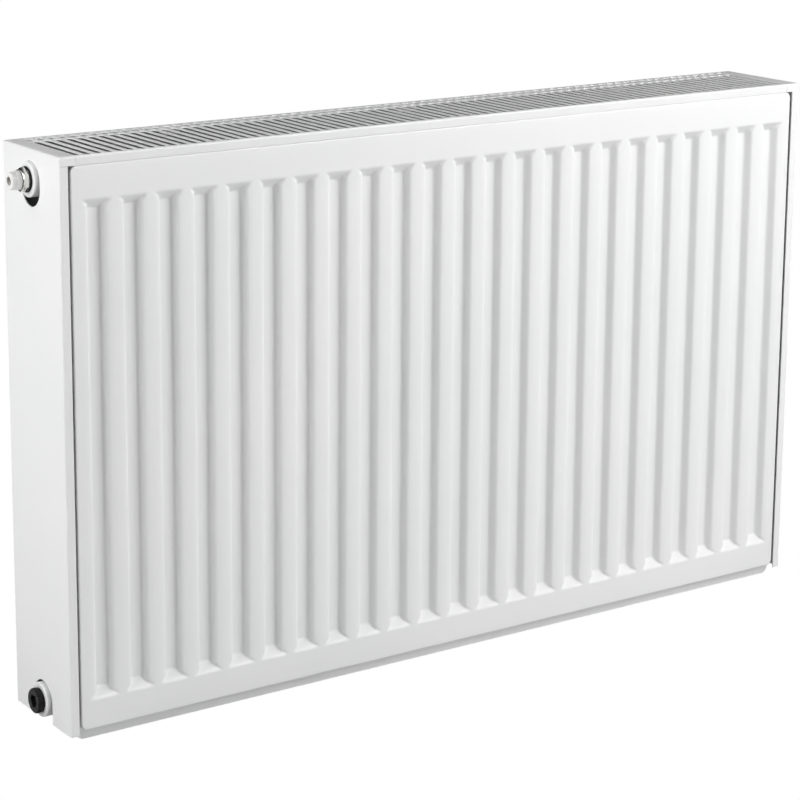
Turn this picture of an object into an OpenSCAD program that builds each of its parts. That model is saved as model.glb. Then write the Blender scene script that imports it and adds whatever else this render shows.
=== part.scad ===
// Steel panel radiator, type 22: two pressed water panels with a folded convector on each.
// Four tee fittings join the panels, two side covers and a slotted grille close the casing,
// and an air vent and a blank plug close the two ports at the left end.
// X runs along the radiator, Y from its front to its back and Z up, in millimetres.
// The origin lies on the floor, under the middle of the whole object.

/* [Casing] */
// Length over the two side covers
casing_l = 800; // [600:100:1200]
// Height from the floor to the top of the grille
casing_h = 500; // [400:50:900]
// Depth over the two outer panel faces
casing_d = 102; // [100:1:110]

/* [Water panels] */
// Number of water channels along the length
channel_count = 24; // [18:1:36]
// Thickness of the pressed sheets
sheet_t = 1.2; // [1:0.05:1.25]
// Depth of the grooves pressed between the channels
groove_depth = 8.3; // [6:0.1:9]
// Width of a groove at its floor
groove_floor_w = 9; // [7:0.5:10]
// Width of a groove where it meets the face
groove_mouth_w = 21; // [20:0.5:25]
// Height of the collecting channels above and below the grooves
header_h = 26; // [24:1:30]
// Height of the welded seam below the pressed face
seam_h = 10; // [8:1:12]
// Distance from the end of the casing to the pressed face
face_inset_x = 11; // [11:0.5:14]

/* [Convectors] */
// Thickness of the folded convector sheet
fin_t = 0.5; // [0.4:0.1:0.6]
// Width of each flat fold of the convector
fin_flat_w = 7; // [5:0.5:8]
// Distance from the floor, and from the top, to the convector
fin_inset_z = 45; // [45:1:70]

/* [Ports] */
// Distance between the upper and lower port centres
port_spacing = 450; // [350:50:850]
// Radius of the port's plain bore, the crest of a half inch pipe thread
port_bore_r = 9.3; // [9.2:0.1:9.4]
// Length of that bore
port_bore_l = 18; // [15:1:20]
// Outer radius of a tee's barrel
barrel_r = 15; // [14:0.5:15]

/* [Side covers and grille] */
// Thickness of the covers and the grille
cover_t = 1; // [0.8:0.1:1.2]
// Width of the flanges folded round the front and rear faces
cover_flange_w = 8; // [6:0.5:9]
// Width of the flange folded over the top
cover_top_w = 15; // [14:0.5:16]
// Height of the lower edge of the covers above the floor
cover_foot = 7; // [4:1:8]
// Distance that a cover lifts before it comes off its hooks
cover_lift = 7; // [5:0.5:8]
// Depth of the lips at the front and rear of the grille
lip_h = 8; // [7:0.5:8]
// Distance between two grille slots
slot_pitch = 10; // [9:0.5:12]
// Width of a grille slot
slot_w = 6; // [4:0.1:6]

/* [Vent and plug] */
// Width across the flats of the vent's hexagon
vent_hex_af = 18; // [17:0.5:19]
// Length of the vent's hexagon
vent_hex_l = 5.2; // [5:0.2:7]
// Outer radius of the swivel spout
spout_r = 8; // [7.8:0.1:8.5]
// Length of the swivel spout
spout_l = 9; // [9:0.1:10]
// Radius of the blank plug's head
plug_head_r = 11; // [10:0.5:11.5]
// Length of the blank plug's head
plug_head_l = 4.4; // [4.4:0.1:7]

/* [Hanging lugs] */
// Height of each lug on the rear panel
lug_h = 30; // [20:1:40]
// Free depth behind a lug's strap
lug_gap = 5; // [4.5:0.5:6]
// Thickness of the lug's strip
lug_t = 2; // [1.5:0.5:2.5]

/* [Hidden] */

// Round shapes and the amount that cutters overrun the faces they cut
$fn = 48;
cut = 1;

// Colours
paint = "white";
primer = "dimgray";
nickel = "silver";
brass = "goldenrod";
plastic = "ivory";
rubber = [0.1, 0.1, 0.1];
dark_plastic = [0.15, 0.15, 0.16];

// Panels: the face is at depth 0 and the seam between the two sheets at seam_depth
seam_depth = groove_depth + sheet_t;
panel_d = 2 * seam_depth;
channel_pitch = casing_l / channel_count;
face_half_x = casing_l / 2 - face_inset_x;
lip_gap = 0.5;
face_top = casing_h - lip_h - lip_gap;
face_half_z = (face_top - seam_h) / 2;
face_mid_z = (face_top + seam_h) / 2;
face_draft = 1.2;
seam_side_w = 4;
seam_half_x = face_half_x + seam_side_w;
clip_seat_h = 1.5;
seam_top = casing_h - cover_t - clip_seat_h;
groove_half_z = (casing_h - 2 * (seam_h + header_h)) / 2;
groove_mid_z = casing_h / 2;
groove_run = (groove_mouth_w - groove_floor_w) / 2;
groove_end_run = 9;

// Convectors: each fills its half of the space between the panels
duct_half_y = casing_d / 2 - panel_d;
fin_gap_y = 1;
fin_depth = duct_half_y - fin_gap_y - fin_t;
fin_run = channel_pitch / 2 - fin_flat_w;
fin_corner = tan(atan(fin_depth / fin_run) / 2);
fin_first = 1;
fin_last = channel_count - 2;

// Ports and tees
port_z = [(casing_h + port_spacing) / 2, (casing_h - port_spacing) / 2];
barrel_reach = 3.5;
port_x = casing_l / 2 + barrel_reach;
tee_inset = 26;
tee_x = casing_l / 2 - tee_inset;
tee_end_x = tee_x - barrel_r + 1;
cross_r = 11;
water_r = 8;

// Side covers
slot_r = barrel_r + 1.5;
slot_slack = [0.1, 1];
slot_top = port_z[0] + barrel_r + slot_slack[0];
slot_foot = port_z[0] - barrel_r - cover_lift - slot_slack[1];
notch_r = barrel_r + 2;
top_joint = 1;

// Grille: one long row of slots and one short row behind it
grille_half_x = casing_l / 2 - cover_top_w - top_joint;
slot_half_count = floor((grille_half_x - slot_pitch / 4) / slot_pitch);
long_slot_y = [4, 82];
short_slot_y = [86, 95.5];
clip_half_l = 10;
clip_t = 1.2;
clip_h = 5;
clip_slack = 0.1;
clip_x = [-0.62, 0, 0.62] * casing_l / 2;

// Vent and plug, measured outwards from the face of the port
stem_r = port_bore_r - 0.1;
stem_l = 12;
seal_section_r = 0.8;
seal_r = 10.1;
head_start = 2 * seal_section_r;
hex_end = head_start + vent_hex_l;
spout_start = hex_end + 0.3;
spout_end = spout_start + spout_l;
spout_wall = 1.7;
journal_r = 6;
journal_end = spout_end - spout_wall - 0.3;
fit = 0.05;
spout_seal_section_r = 0.65;
spout_seal_z = spout_start + 3;
spout_hole_r = 4.2;
outlet_r = 1;
outlet_z = spout_start + 5.3;
water_way_r = 1.7;
valve_seat_z = 3;
tip_z = [2.2, 4.5];
tip_r = [1.2, 2.4];
screw_r = 2.55;
screw_end = spout_start + 2;
key_square = 5;
key_l = 5;
recess_r = 3.75;
plug_socket_af = 10;
plug_socket_depth = 4;
plug_chamfer = 1;
grip_count = 24;
grip_r = 0.8;

// Lugs: the feet stand on two neighbouring channels and the strap spans the groove between
lug_channel = [5, channel_count - 6];
lug_foot_w = 7;
lug_inset_z = 55;
lug_z = [casing_h - lug_inset_z - lug_h, lug_inset_z];
lug_reach = lug_gap + lug_t;

// Place of the casing's middle in the frame, which is centred on the whole object
vent_reach = port_x + spout_end - casing_l / 2;
frame_x = vent_reach / 2 - (port_x - casing_l / 2) / 2;
frame_y = -lug_reach / 2;

// X of the middle of a channel, counted from the left end
function channel_x(i) = (i + 0.5) * channel_pitch - casing_l / 2;

// X of the groove to the right of channel i
function groove_x(i) = (i + 1) * channel_pitch - casing_l / 2;

// Half width at depth y of a trapezoid with a half width of floor_half at depth floor_y,
// whose walls run out by run over that depth and stand off by grow
function wall_half(floor_half, run, floor_y, y, grow) =
    floor_half + run * (floor_y - y) / floor_y + grow * norm([run, floor_y]) / floor_y;

// Points of one side of the convector's folds, at distance d from the middle of the sheet
function fold_points(d) = [
    for (i = [fin_first : fin_last]) each concat(
        [
            [channel_x(i) - fin_flat_w / 2 - d * fin_corner, d],
            [channel_x(i) + fin_flat_w / 2 + d * fin_corner, d]
        ],
        i == fin_last ? [] : [
            [groove_x(i) - fin_flat_w / 2 + d * fin_corner, d - fin_depth],
            [groove_x(i) + fin_flat_w / 2 - d * fin_corner, d - fin_depth]
        ]
    )
];

function reversed(points) = [for (i = [len(points) - 1 : -1 : 0]) points[i]];

// Moves the casing's own frame to the frame of the whole object
module in_frame() translate([frame_x, frame_y, 0]) children();

// Turns a shape at the left end into its twin at the right end
module other_end() mirror([1, 0, 0]) children();

// Turns a shape at the front into its twin at the rear
module other_side() mirror([0, 1, 0]) children();

// Block with flat sloping sides: half widths x and half heights z at depths y[0] and y[1]
module draft_block(x, z, y) {
    intersection() {
        linear_extrude(2 * max(z), center = true)
            polygon([[-x[0], y[0]], [x[0], y[0]], [x[1], y[1]], [-x[1], y[1]]]);
        rotate([90, 0, 90])
            linear_extrude(2 * max(x), center = true)
                polygon([[y[0], -z[0]], [y[0], z[0]], [y[1], z[1]], [y[1], -z[1]]]);
    }
}

// Raised form of a pressed sheet, drawn in by inset on every side
module face_form(inset, y_end) {
    translate([0, 0, face_mid_z])
        draft_block(
            [face_half_x - face_draft - inset, face_half_x - inset],
            [face_half_z - face_draft - inset, face_half_z - inset],
            [inset, y_end]
        );
}

// One vertical groove with sloping walls and ends, grown by grow into the sheet
module groove(grow) {
    y = [-cut, groove_depth + grow];
    floor_half_z = groove_half_z - groove_end_run;
    half_x = [for (d = y) wall_half(groove_floor_w / 2, groove_run, groove_depth, d, grow)];
    half_z = [for (d = y) wall_half(floor_half_z, groove_end_run, groove_depth, d, grow)];
    translate([0, 0, groove_mid_z])
        draft_block(half_x, half_z, y);
}

module grooves(grow) {
    for (i = [0 : channel_count - 2]) {
        translate([groove_x(i), 0, 0]) groove(grow);
    }
}

// Pressed sheet with its face at depth 0 and its seam flange at seam_depth
module pressed_sheet() {
    difference() {
        union() {
            face_form(0, seam_depth);
            translate([-seam_half_x, groove_depth, 0])
                cube([2 * seam_half_x, sheet_t, seam_top]);
        }
        grooves(0);
        difference() {
            face_form(sheet_t, seam_depth + cut);
            grooves(sheet_t);
        }
    }
}

module outer_sheet() color(paint) translate([0, -casing_d / 2, 0]) pressed_sheet();

// Inner sheet: the same pressing turned round, with a hole where each tee meets it
module inner_sheet() {
    color(primer)
    difference() {
        translate([0, panel_d - casing_d / 2, 0])
            mirror([0, 1, 0]) pressed_sheet();
        for (side = [-1, 1], z = port_z) {
            translate([side * tee_x, -duct_half_y + cut, z])
                rotate([90, 0, 0]) cylinder(h = panel_d / 2, r = water_r);
        }
    }
}

// Convector: one sheet folded to and fro between the front panel and the middle
module convector() {
    color(primer)
    translate([0, -duct_half_y + fin_t / 2, fin_inset_z])
        mirror([0, 1, 0])
            linear_extrude(casing_h - 2 * fin_inset_z)
                polygon(concat(fold_points(fin_t / 2), reversed(fold_points(-fin_t / 2))));
}

// Tee: a cross tube between the panels and a barrel with the threaded port, at the left end
module tee(z) {
    color(paint)
    translate([0, 0, z])
    difference() {
        union() {
            translate([-port_x, 0, 0])
                rotate([0, 90, 0]) cylinder(h = port_x - tee_end_x, r = barrel_r);
            translate([-tee_x, duct_half_y, 0])
                rotate([90, 0, 0]) cylinder(h = 2 * duct_half_y, r = cross_r);
        }
        translate([-port_x - cut, 0, 0])
            rotate([0, 90, 0]) cylinder(h = port_bore_l + cut, r = port_bore_r);
        translate([-port_x, 0, 0])
            rotate([0, 90, 0]) cylinder(h = port_x - tee_x + water_r, r = water_r);
        translate([-tee_x, duct_half_y + cut, 0])
            rotate([90, 0, 0]) cylinder(h = 2 * (duct_half_y + cut), r = water_r);
    }
}

// Hanging lug on the rear panel, a strap with its feet on channels i and i + 1
module lug(i, z) {
    inner_half = channel_pitch / 2 - lug_foot_w / 2;
    outer_half = channel_pitch / 2 + lug_foot_w / 2;
    far = casing_d / 2 + lug_reach;
    near = casing_d / 2;
    color(paint)
    translate([groove_x(i), 0, z])
        linear_extrude(lug_h)
            polygon([
                [-outer_half, near], [-inner_half + lug_t, near],
                [-inner_half + lug_t, far - lug_t], [inner_half - lug_t, far - lug_t],
                [inner_half - lug_t, near], [outer_half, near],
                [outer_half, near + lug_t], [inner_half, near + lug_t],
                [inner_half, far], [-inner_half, far],
                [-inner_half, near + lug_t], [-outer_half, near + lug_t]
            ]);
}

// Outline of the round-ended slot that a port's barrel passes through
module cover_slot() {
    for (z = [slot_foot + slot_r, slot_top - slot_r]) {
        translate([0, z]) circle(r = slot_r);
    }
    translate([-slot_r, slot_foot + slot_r])
        square([2 * slot_r, slot_top - slot_foot - 2 * slot_r]);
}

// Outline of the notch that clears the lower port and lets the cover lift off
module cover_notch() {
    translate([0, port_z[1]]) circle(r = notch_r);
    translate([-notch_r, 0]) square([2 * notch_r, port_z[1]]);
}

// Side cover at the left end, folded from one sheet
module side_cover() {
    end_x = -casing_l / 2;
    color(paint) {
        translate([end_x, 0, 0])
            rotate([90, 0, 90])
                linear_extrude(cover_t)
                    difference() {
                        translate([-casing_d / 2, cover_foot])
                            square([casing_d, casing_h - cover_foot]);
                        cover_slot();
                        cover_notch();
                    }
        for (y = [-casing_d / 2, casing_d / 2 - cover_t]) {
            translate([end_x, y, cover_foot])
                cube([cover_flange_w, cover_t, casing_h - cover_foot]);
            translate([end_x, y, casing_h - lip_h])
                cube([cover_top_w, cover_t, lip_h]);
        }
        translate([end_x, -casing_d / 2, casing_h - cover_t])
            cube([cover_top_w, casing_d, cover_t]);
    }
}

// Row of round-ended slots through the grille, between two distances from its front edge
module slot_row(y) {
    r = slot_w / 2;
    for (i = [-slot_half_count : slot_half_count]) {
        translate([i * slot_pitch, -casing_d / 2]) {
            translate([0, y[0] + r]) circle(r = r);
            translate([0, y[1] - r]) circle(r = r);
            translate([-r, y[0] + r]) square([slot_w, y[1] - y[0] - slot_w]);
        }
    }
}

// Saddle of plastic on the seam of a panel, which carries the grille
module seam_saddle() {
    gap_half = sheet_t + clip_slack;
    top = casing_h - cover_t;
    translate([-clip_half_l, 0, 0])
        rotate([90, 0, 90])
            linear_extrude(2 * clip_half_l)
                difference() {
                    translate([-gap_half - clip_t, seam_top - clip_h])
                        square([2 * (gap_half + clip_t), top - seam_top + clip_h]);
                    translate([-gap_half, seam_top - clip_h - cut])
                        square([2 * gap_half, clip_h + cut]);
                }
}

// Sets a fitting on the outer face of the left port at height z, pointing outwards
module on_left_port(z) translate([-port_x, 0, z]) rotate([0, -90, 0]) children();

// Threaded stem and the neck that carries a sealing ring
module stem() {
    translate([0, 0, -stem_l]) cylinder(h = stem_l, r = stem_r);
    cylinder(h = head_start, r = seal_r - seal_section_r);
}

module seal_ring(r, section_r) rotate_extrude() translate([r, 0]) circle(r = section_r);

module front_outer_sheet() in_frame() outer_sheet();
module rear_outer_sheet() in_frame() other_side() outer_sheet();
module front_inner_sheet() in_frame() inner_sheet();
module rear_inner_sheet() in_frame() other_side() inner_sheet();
module front_convector() in_frame() convector();
module rear_convector() in_frame() other_side() convector();
module top_left_tee() in_frame() tee(port_z[0]);
module bottom_left_tee() in_frame() tee(port_z[1]);
module top_right_tee() in_frame() other_end() tee(port_z[0]);
module bottom_right_tee() in_frame() other_end() tee(port_z[1]);
module top_left_lug() in_frame() lug(lug_channel[0], lug_z[0]);
module bottom_left_lug() in_frame() lug(lug_channel[0], lug_z[1]);
module top_right_lug() in_frame() lug(lug_channel[1] - 1, lug_z[0]);
module bottom_right_lug() in_frame() lug(lug_channel[1] - 1, lug_z[1]);
module left_side_cover() in_frame() side_cover();
module right_side_cover() in_frame() other_end() side_cover();

// Top grille, folded down at the front and the rear
module top_grille() {
    color(paint)
    in_frame() {
        translate([0, 0, casing_h - cover_t])
            linear_extrude(cover_t)
                difference() {
                    translate([-grille_half_x, -casing_d / 2])
                        square([2 * grille_half_x, casing_d]);
                    slot_row(long_slot_y);
                    slot_row(short_slot_y);
                }
        for (y = [-casing_d / 2, casing_d / 2 - cover_t]) {
            translate([-grille_half_x, y, casing_h - lip_h])
                cube([2 * grille_half_x, cover_t, lip_h]);
        }
    }
}

// Six saddles on the two seams under the grille
module grille_clips() {
    seam_y = casing_d / 2 - seam_depth;
    color(plastic)
    in_frame()
    for (x = clip_x, y = [-seam_y, seam_y]) {
        translate([x, y, 0]) seam_saddle();
    }
}

// Vent body: stem, hexagon and the journal that the spout turns on
module vent_body() {
    groove_r = journal_r - 2 * spout_seal_section_r;
    color(nickel)
    in_frame()
    on_left_port(port_z[0])
    difference() {
        union() {
            stem();
            translate([0, 0, head_start])
                cylinder(h = vent_hex_l, r = vent_hex_af / 2 / cos(30), $fn = 6);
            translate([0, 0, hex_end]) cylinder(h = journal_end - hex_end, r = journal_r);
        }
        translate([0, 0, -stem_l - cut]) cylinder(h = stem_l + 2 * cut + valve_seat_z, r = water_way_r);
        translate([0, 0, valve_seat_z]) cylinder(h = screw_end, r = screw_r + fit);
        translate([0, 0, screw_end]) cylinder(h = journal_end, r = recess_r);
        translate([0, 0, spout_seal_z - spout_seal_section_r])
            difference() {
                cylinder(h = 2 * spout_seal_section_r, r = journal_r + cut);
                cylinder(h = 2 * spout_seal_section_r, r = groove_r);
            }
        translate([0, 0, outlet_z]) rotate([0, -90, 0]) cylinder(h = 2 * journal_r, r = outlet_r);
    }
}

module vent_seal() {
    color(rubber)
    in_frame()
    on_left_port(port_z[0])
    translate([0, 0, seal_section_r]) seal_ring(seal_r, seal_section_r);
}

// Swivel spout: a cap with a hole for the key in front and the outlet in its side
module vent_spout() {
    color(plastic)
    in_frame()
    on_left_port(port_z[0])
    difference() {
        translate([0, 0, spout_start]) cylinder(h = spout_l, r = spout_r);
        translate([0, 0, spout_start - cut])
            cylinder(h = spout_l - spout_wall + cut, r = journal_r + fit);
        cylinder(h = spout_end + cut, r = spout_hole_r);
        translate([0, 0, outlet_z]) rotate([0, -90, 0]) cylinder(h = 2 * spout_r, r = outlet_r);
    }
}

module spout_seal() {
    color(rubber)
    in_frame()
    on_left_port(port_z[0])
    translate([0, 0, spout_seal_z])
        seal_ring(journal_r - spout_seal_section_r, spout_seal_section_r);
}

// Conical tip of the bleed screw, which closes the water way
module bleed_tip() {
    color(brass)
    in_frame()
    on_left_port(port_z[0])
    translate([0, 0, tip_z[0]]) cylinder(h = tip_z[1] - tip_z[0], r1 = tip_r[0], r2 = tip_r[1]);
}

// Bleed screw with the square end that the key turns
module bleed_screw() {
    color(brass)
    in_frame()
    on_left_port(port_z[0]) {
        translate([0, 0, tip_z[1]]) cylinder(h = screw_end - tip_z[1], r = screw_r);
        translate([-key_square / 2, -key_square / 2, screw_end])
            cube([key_square, key_square, key_l]);
    }
}

// Blank plug with a ribbed head and a hexagon socket
module blank_plug() {
    color(dark_plastic)
    in_frame()
    on_left_port(port_z[1])
    difference() {
        union() {
            stem();
            translate([0, 0, head_start]) cylinder(h = plug_head_l - plug_chamfer, r = plug_head_r);
            translate([0, 0, head_start + plug_head_l - plug_chamfer])
                cylinder(h = plug_chamfer, r1 = plug_head_r, r2 = plug_head_r - plug_chamfer);
        }
        for (i = [0 : grip_count - 1]) {
            rotate([0, 0, i * 360 / grip_count])
                translate([plug_head_r, 0, head_start + cut])
                    cylinder(h = plug_head_l, r = grip_r);
        }
        translate([0, 0, head_start + plug_head_l - plug_socket_depth])
            cylinder(h = plug_socket_depth + cut, r = plug_socket_af / 2 / cos(30), $fn = 6);
    }
}

module blank_plug_seal() {
    color(rubber)
    in_frame()
    on_left_port(port_z[1])
    translate([0, 0, seal_section_r]) seal_ring(seal_r, seal_section_r);
}

front_outer_sheet();
front_inner_sheet();
rear_inner_sheet();
rear_outer_sheet();
front_convector();
rear_convector();
top_left_tee();
bottom_left_tee();
top_right_tee();
bottom_right_tee();
top_left_lug();
bottom_left_lug();
top_right_lug();
bottom_right_lug();
left_side_cover();
right_side_cover();
grille_clips();
top_grille();
vent_body();
vent_seal();
vent_spout();
spout_seal();
bleed_tip();
bleed_screw();
blank_plug();
blank_plug_seal();
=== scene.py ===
import math

import bmesh
import bpy
import numpy as np
from mathutils import Matrix, Vector
from mathutils.geometry import delaunay_2d_cdt


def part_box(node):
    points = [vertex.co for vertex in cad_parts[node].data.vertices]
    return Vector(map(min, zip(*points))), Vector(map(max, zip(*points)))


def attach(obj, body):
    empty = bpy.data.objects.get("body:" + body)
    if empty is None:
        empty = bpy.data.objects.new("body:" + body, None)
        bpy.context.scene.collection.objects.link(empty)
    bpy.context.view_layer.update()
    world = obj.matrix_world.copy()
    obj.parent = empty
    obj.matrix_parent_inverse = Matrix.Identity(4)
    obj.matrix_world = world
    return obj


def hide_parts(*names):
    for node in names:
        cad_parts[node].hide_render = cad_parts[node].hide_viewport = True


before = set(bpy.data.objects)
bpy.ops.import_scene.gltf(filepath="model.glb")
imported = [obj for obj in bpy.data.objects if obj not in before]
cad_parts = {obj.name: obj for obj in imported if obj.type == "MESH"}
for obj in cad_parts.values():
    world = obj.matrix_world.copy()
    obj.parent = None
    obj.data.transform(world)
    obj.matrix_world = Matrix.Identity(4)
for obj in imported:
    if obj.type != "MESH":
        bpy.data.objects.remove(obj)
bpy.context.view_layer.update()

# Sheet steel panel radiator. Shapes are drawn in millimetres in the casing's own frame: X from the
# middle of its length, Y from the middle of its depth, Z from the floor. One function moves them.
MM = 0.001
cover_low, cover_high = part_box("left_side_cover")
far_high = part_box("right_side_cover")[1]
CASING_MIDDLE = Vector(((cover_low.x + far_high.x) / 2, (cover_low.y + cover_high.y) / 2, 0))
HALF_L = (far_high.x - cover_low.x) / 2 / MM
HALF_D = (cover_high.y - cover_low.y) / 2 / MM
TOP = cover_high.z / MM


def casing_box(node):
    """Lowest and highest corner of a CAD node in the casing's frame, in millimetres."""
    return [(corner - CASING_MIDDLE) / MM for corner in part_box(node)]


# ---------------------------------------------------------------- mesh helpers


def make_object(name, points, faces, outward=None):
    """A piece from points in millimetres in the casing's frame. The faces turn so that their
    common direction is outward, or for a closed body so that every face looks out of it."""
    mesh = bpy.data.meshes.new(name)
    moved = np.asarray(points, float) * MM + np.array(CASING_MIDDLE)
    mesh.from_pydata([tuple(p) for p in moved], [], faces)
    bm = bmesh.new()
    bm.from_mesh(mesh)
    bmesh.ops.remove_doubles(bm, verts=bm.verts, dist=1e-6)
    bmesh.ops.dissolve_degenerate(bm, edges=bm.edges, dist=1e-7)
    loose = [v for v in bm.verts if not v.link_faces]
    bmesh.ops.delete(bm, geom=loose, context="VERTS")
    bmesh.ops.recalc_face_normals(bm, faces=bm.faces)
    if outward is not None:
        total = Vector()
        for face in bm.faces:
            total += face.normal * face.calc_area()
        if total.dot(Vector(outward)) < 0:
            bmesh.ops.reverse_faces(bm, faces=bm.faces)
    bm.to_mesh(mesh)
    bm.free()
    obj = bpy.data.objects.new(name, mesh)
    bpy.context.scene.collection.objects.link(obj)
    return obj


def thicken(obj, thickness):
    """Gives a sheet its thickness, away from the side that its faces look to."""
    modifier = obj.modifiers.new("Thickness", "SOLIDIFY")
    modifier.thickness = thickness * MM
    modifier.offset = -1
    modifier.use_even_offset = True


def round_edges(obj, width):
    """Rounds the sharp edges with a bevel of the given width in millimetres."""
    modifier = obj.modifiers.new("Rounding", "BEVEL")
    modifier.width = width * MM
    modifier.segments = 2
    modifier.limit_method = "ANGLE"
    modifier.angle_limit = math.radians(40)
    modifier.harden_normals = False


def combine(obj, other, operation):
    modifier = obj.modifiers.new("Combined", "BOOLEAN")
    modifier.operation = operation
    modifier.solver = "EXACT"
    modifier.object = other


def settle(obj, angle=35, weighted=True):
    """Applies the modifiers and shades the piece smooth between edges sharper than the angle."""
    bpy.context.view_layer.update()
    evaluated = obj.evaluated_get(bpy.context.evaluated_depsgraph_get())
    mesh = bpy.data.meshes.new_from_object(evaluated)
    obj.modifiers.clear()
    obj.data = mesh
    mesh.name = obj.name
    mesh.polygons.foreach_set("use_smooth", [True] * len(mesh.polygons))
    mesh.set_sharp_from_angle(angle=math.radians(angle))
    if weighted:
        modifier = obj.modifiers.new("Flat faces", "WEIGHTED_NORMAL")
        modifier.keep_sharp = True
        modifier.weight = 80


def hand_over(obj, body, node, slot, material):
    """The piece stands for a CAD node, rides on its body and takes its finish."""
    obj.data.materials.clear()
    obj.data.materials.append(material)
    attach(obj, body)
    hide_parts(node)


def rounded_path(points, radii, steps=6):
    """Open path in a plane with an arc of the given radius at each inner corner."""
    points = [np.asarray(p, float) for p in points]
    path = [points[0]]
    for before, corner, after, radius in zip(points, points[1:], points[2:], radii):
        a = (before - corner) / np.linalg.norm(before - corner)
        b = (after - corner) / np.linalg.norm(after - corner)
        half = math.acos(float(np.clip(a @ b, -1, 1))) / 2
        start = corner + a * radius / math.tan(half)
        centre = corner + (a + b) / np.linalg.norm(a + b) * radius / math.sin(half)
        arm = start - centre
        turn = math.pi - 2 * half
        side = 1 if a[0] * b[1] - a[1] * b[0] < 0 else -1
        for k in range(steps + 1):
            t = side * turn * k / steps
            c, s = math.cos(t), math.sin(t)
            path.append(centre + np.array([arm[0] * c - arm[1] * s, arm[0] * s + arm[1] * c]))
    path.append(points[-1])
    return path


def revolve(rows, count):
    """Points and faces of rows (radius, z) turned about Z, joined up last to first. A radius is
    a number or a function of the angle."""
    angles = np.arange(count) * 2 * math.pi / count
    points = []
    for radius, z in rows:
        r = radius(angles) if callable(radius) else np.full(count, float(radius))
        height = np.full(count, float(z))
        points.append(np.stack([r * np.cos(angles), r * np.sin(angles), height], axis=1))
    faces = []
    for i in range(len(rows)):
        j = (i + 1) % len(rows)
        for k in range(count):
            n = (k + 1) % count
            faces.append((i * count + k, i * count + n, j * count + n, j * count + k))
    return np.concatenate(points), faces


def on_left_port(points, port_z):
    """From a port's own frame, with Z out of the port, to the casing's frame."""
    points = np.asarray(points, float)
    return np.stack([-PORT_X - points[:, 2], points[:, 1], port_z + points[:, 0]], axis=1)


def arc(centre, radius, start, end, steps):
    """Points of an arc in a plane, with angles in degrees."""
    angles = [math.radians(start + (end - start) * k / steps) for k in range(steps + 1)]
    return [(centre[0] + radius * math.cos(a), centre[1] + radius * math.sin(a)) for a in angles]


# ------------------------------------------------------------------- materials


def new_material(name):
    material = bpy.data.materials.new(name)
    material.use_nodes = True
    nodes = material.node_tree.nodes
    return material, nodes, material.node_tree.links, nodes["Principled BSDF"]


def noise(nodes, links, place, scale, detail, stretch):
    """Output of a noise texture fixed to the piece, with features of about 1 / scale metres."""
    mapping = nodes.new("ShaderNodeMapping")
    mapping.inputs["Scale"].default_value = stretch
    links.new(place, mapping.inputs["Vector"])
    texture = nodes.new("ShaderNodeTexNoise")
    texture.inputs["Scale"].default_value = scale
    texture.inputs["Detail"].default_value = detail
    links.new(mapping.outputs["Vector"], texture.inputs["Vector"])
    return texture.outputs["Fac"]


def spread(nodes, links, value, low, high):
    """Maps the middle of a noise value to the range from low to high."""
    mapped = nodes.new("ShaderNodeMapRange")
    mapped.inputs["From Min"].default_value = 0.3
    mapped.inputs["From Max"].default_value = 0.7
    mapped.inputs["To Min"].default_value = low
    mapped.inputs["To Max"].default_value = high
    links.new(value, mapped.inputs["Value"])
    return mapped.outputs["Result"]


def surface(
    name, colours, roughness, cloud_scale, grain_scale, grain_depth,
    metallic=0, stretch=(1, 1, 1), specular=0.5,
):
    """A finish whose colour and gloss drift a little over the piece, with a fine grain in relief.
    The grain's depth is in millimetres."""
    material, nodes, links, shader = new_material(name)
    place = nodes.new("ShaderNodeTexCoord").outputs["Object"]
    cloud = noise(nodes, links, place, cloud_scale, 2, stretch)
    mix = nodes.new("ShaderNodeMix")
    mix.data_type = "RGBA"
    mix.inputs["A"].default_value = (*colours[0], 1)
    mix.inputs["B"].default_value = (*colours[1], 1)
    links.new(spread(nodes, links, cloud, 0, 1), mix.inputs["Factor"])
    links.new(mix.outputs["Result"], shader.inputs["Base Color"])
    gloss = noise(nodes, links, place, cloud_scale * 7, 3, stretch)
    links.new(spread(nodes, links, gloss, *roughness), shader.inputs["Roughness"])
    grain = noise(nodes, links, place, grain_scale, 2, stretch)
    bump = nodes.new("ShaderNodeBump")
    bump.inputs["Strength"].default_value = 1
    bump.inputs["Distance"].default_value = grain_depth * MM
    links.new(grain, bump.inputs["Height"])
    links.new(bump.outputs["Normal"], shader.inputs["Normal"])
    shader.inputs["Metallic"].default_value = metallic
    shader.inputs["IOR"].default_value = 1.5
    shader.inputs["Specular IOR Level"].default_value = specular
    return material


PAINT = surface(
    "white_powder_coat", [(0.86, 0.865, 0.865), (0.885, 0.887, 0.885)], (0.3, 0.38),
    cloud_scale=5, grain_scale=650, grain_depth=0.02,
)
# Painted shade: this dark grey primer is darker than the sheets' real coat and stands in for the
# shade inside the casing, on the inner sheets and the convectors
PRIMER_PAINTED_SHADE = surface(
    "grey_primer_painted_shade", [(0.17, 0.17, 0.172), (0.23, 0.23, 0.232)], (0.45, 0.55),
    cloud_scale=12, grain_scale=800, grain_depth=0.03,
)
NICKEL = surface(
    "nickel_plate", [(0.66, 0.65, 0.63), (0.74, 0.73, 0.70)], (0.10, 0.2),
    cloud_scale=90, grain_scale=2600, grain_depth=0.004, metallic=1, stretch=(0.15, 1, 1),
)
BRASS = surface(
    "brass", [(0.22, 0.15, 0.07), (0.34, 0.25, 0.13)], (0.3, 0.44),
    cloud_scale=120, grain_scale=3000, grain_depth=0.006, metallic=1, stretch=(1, 0.2, 1),
)
SPOUT_PLASTIC = surface(
    "spout_plastic", [(0.83, 0.83, 0.82), (0.87, 0.87, 0.86)], (0.26, 0.34),
    cloud_scale=60, grain_scale=1500, grain_depth=0.01,
)
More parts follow.
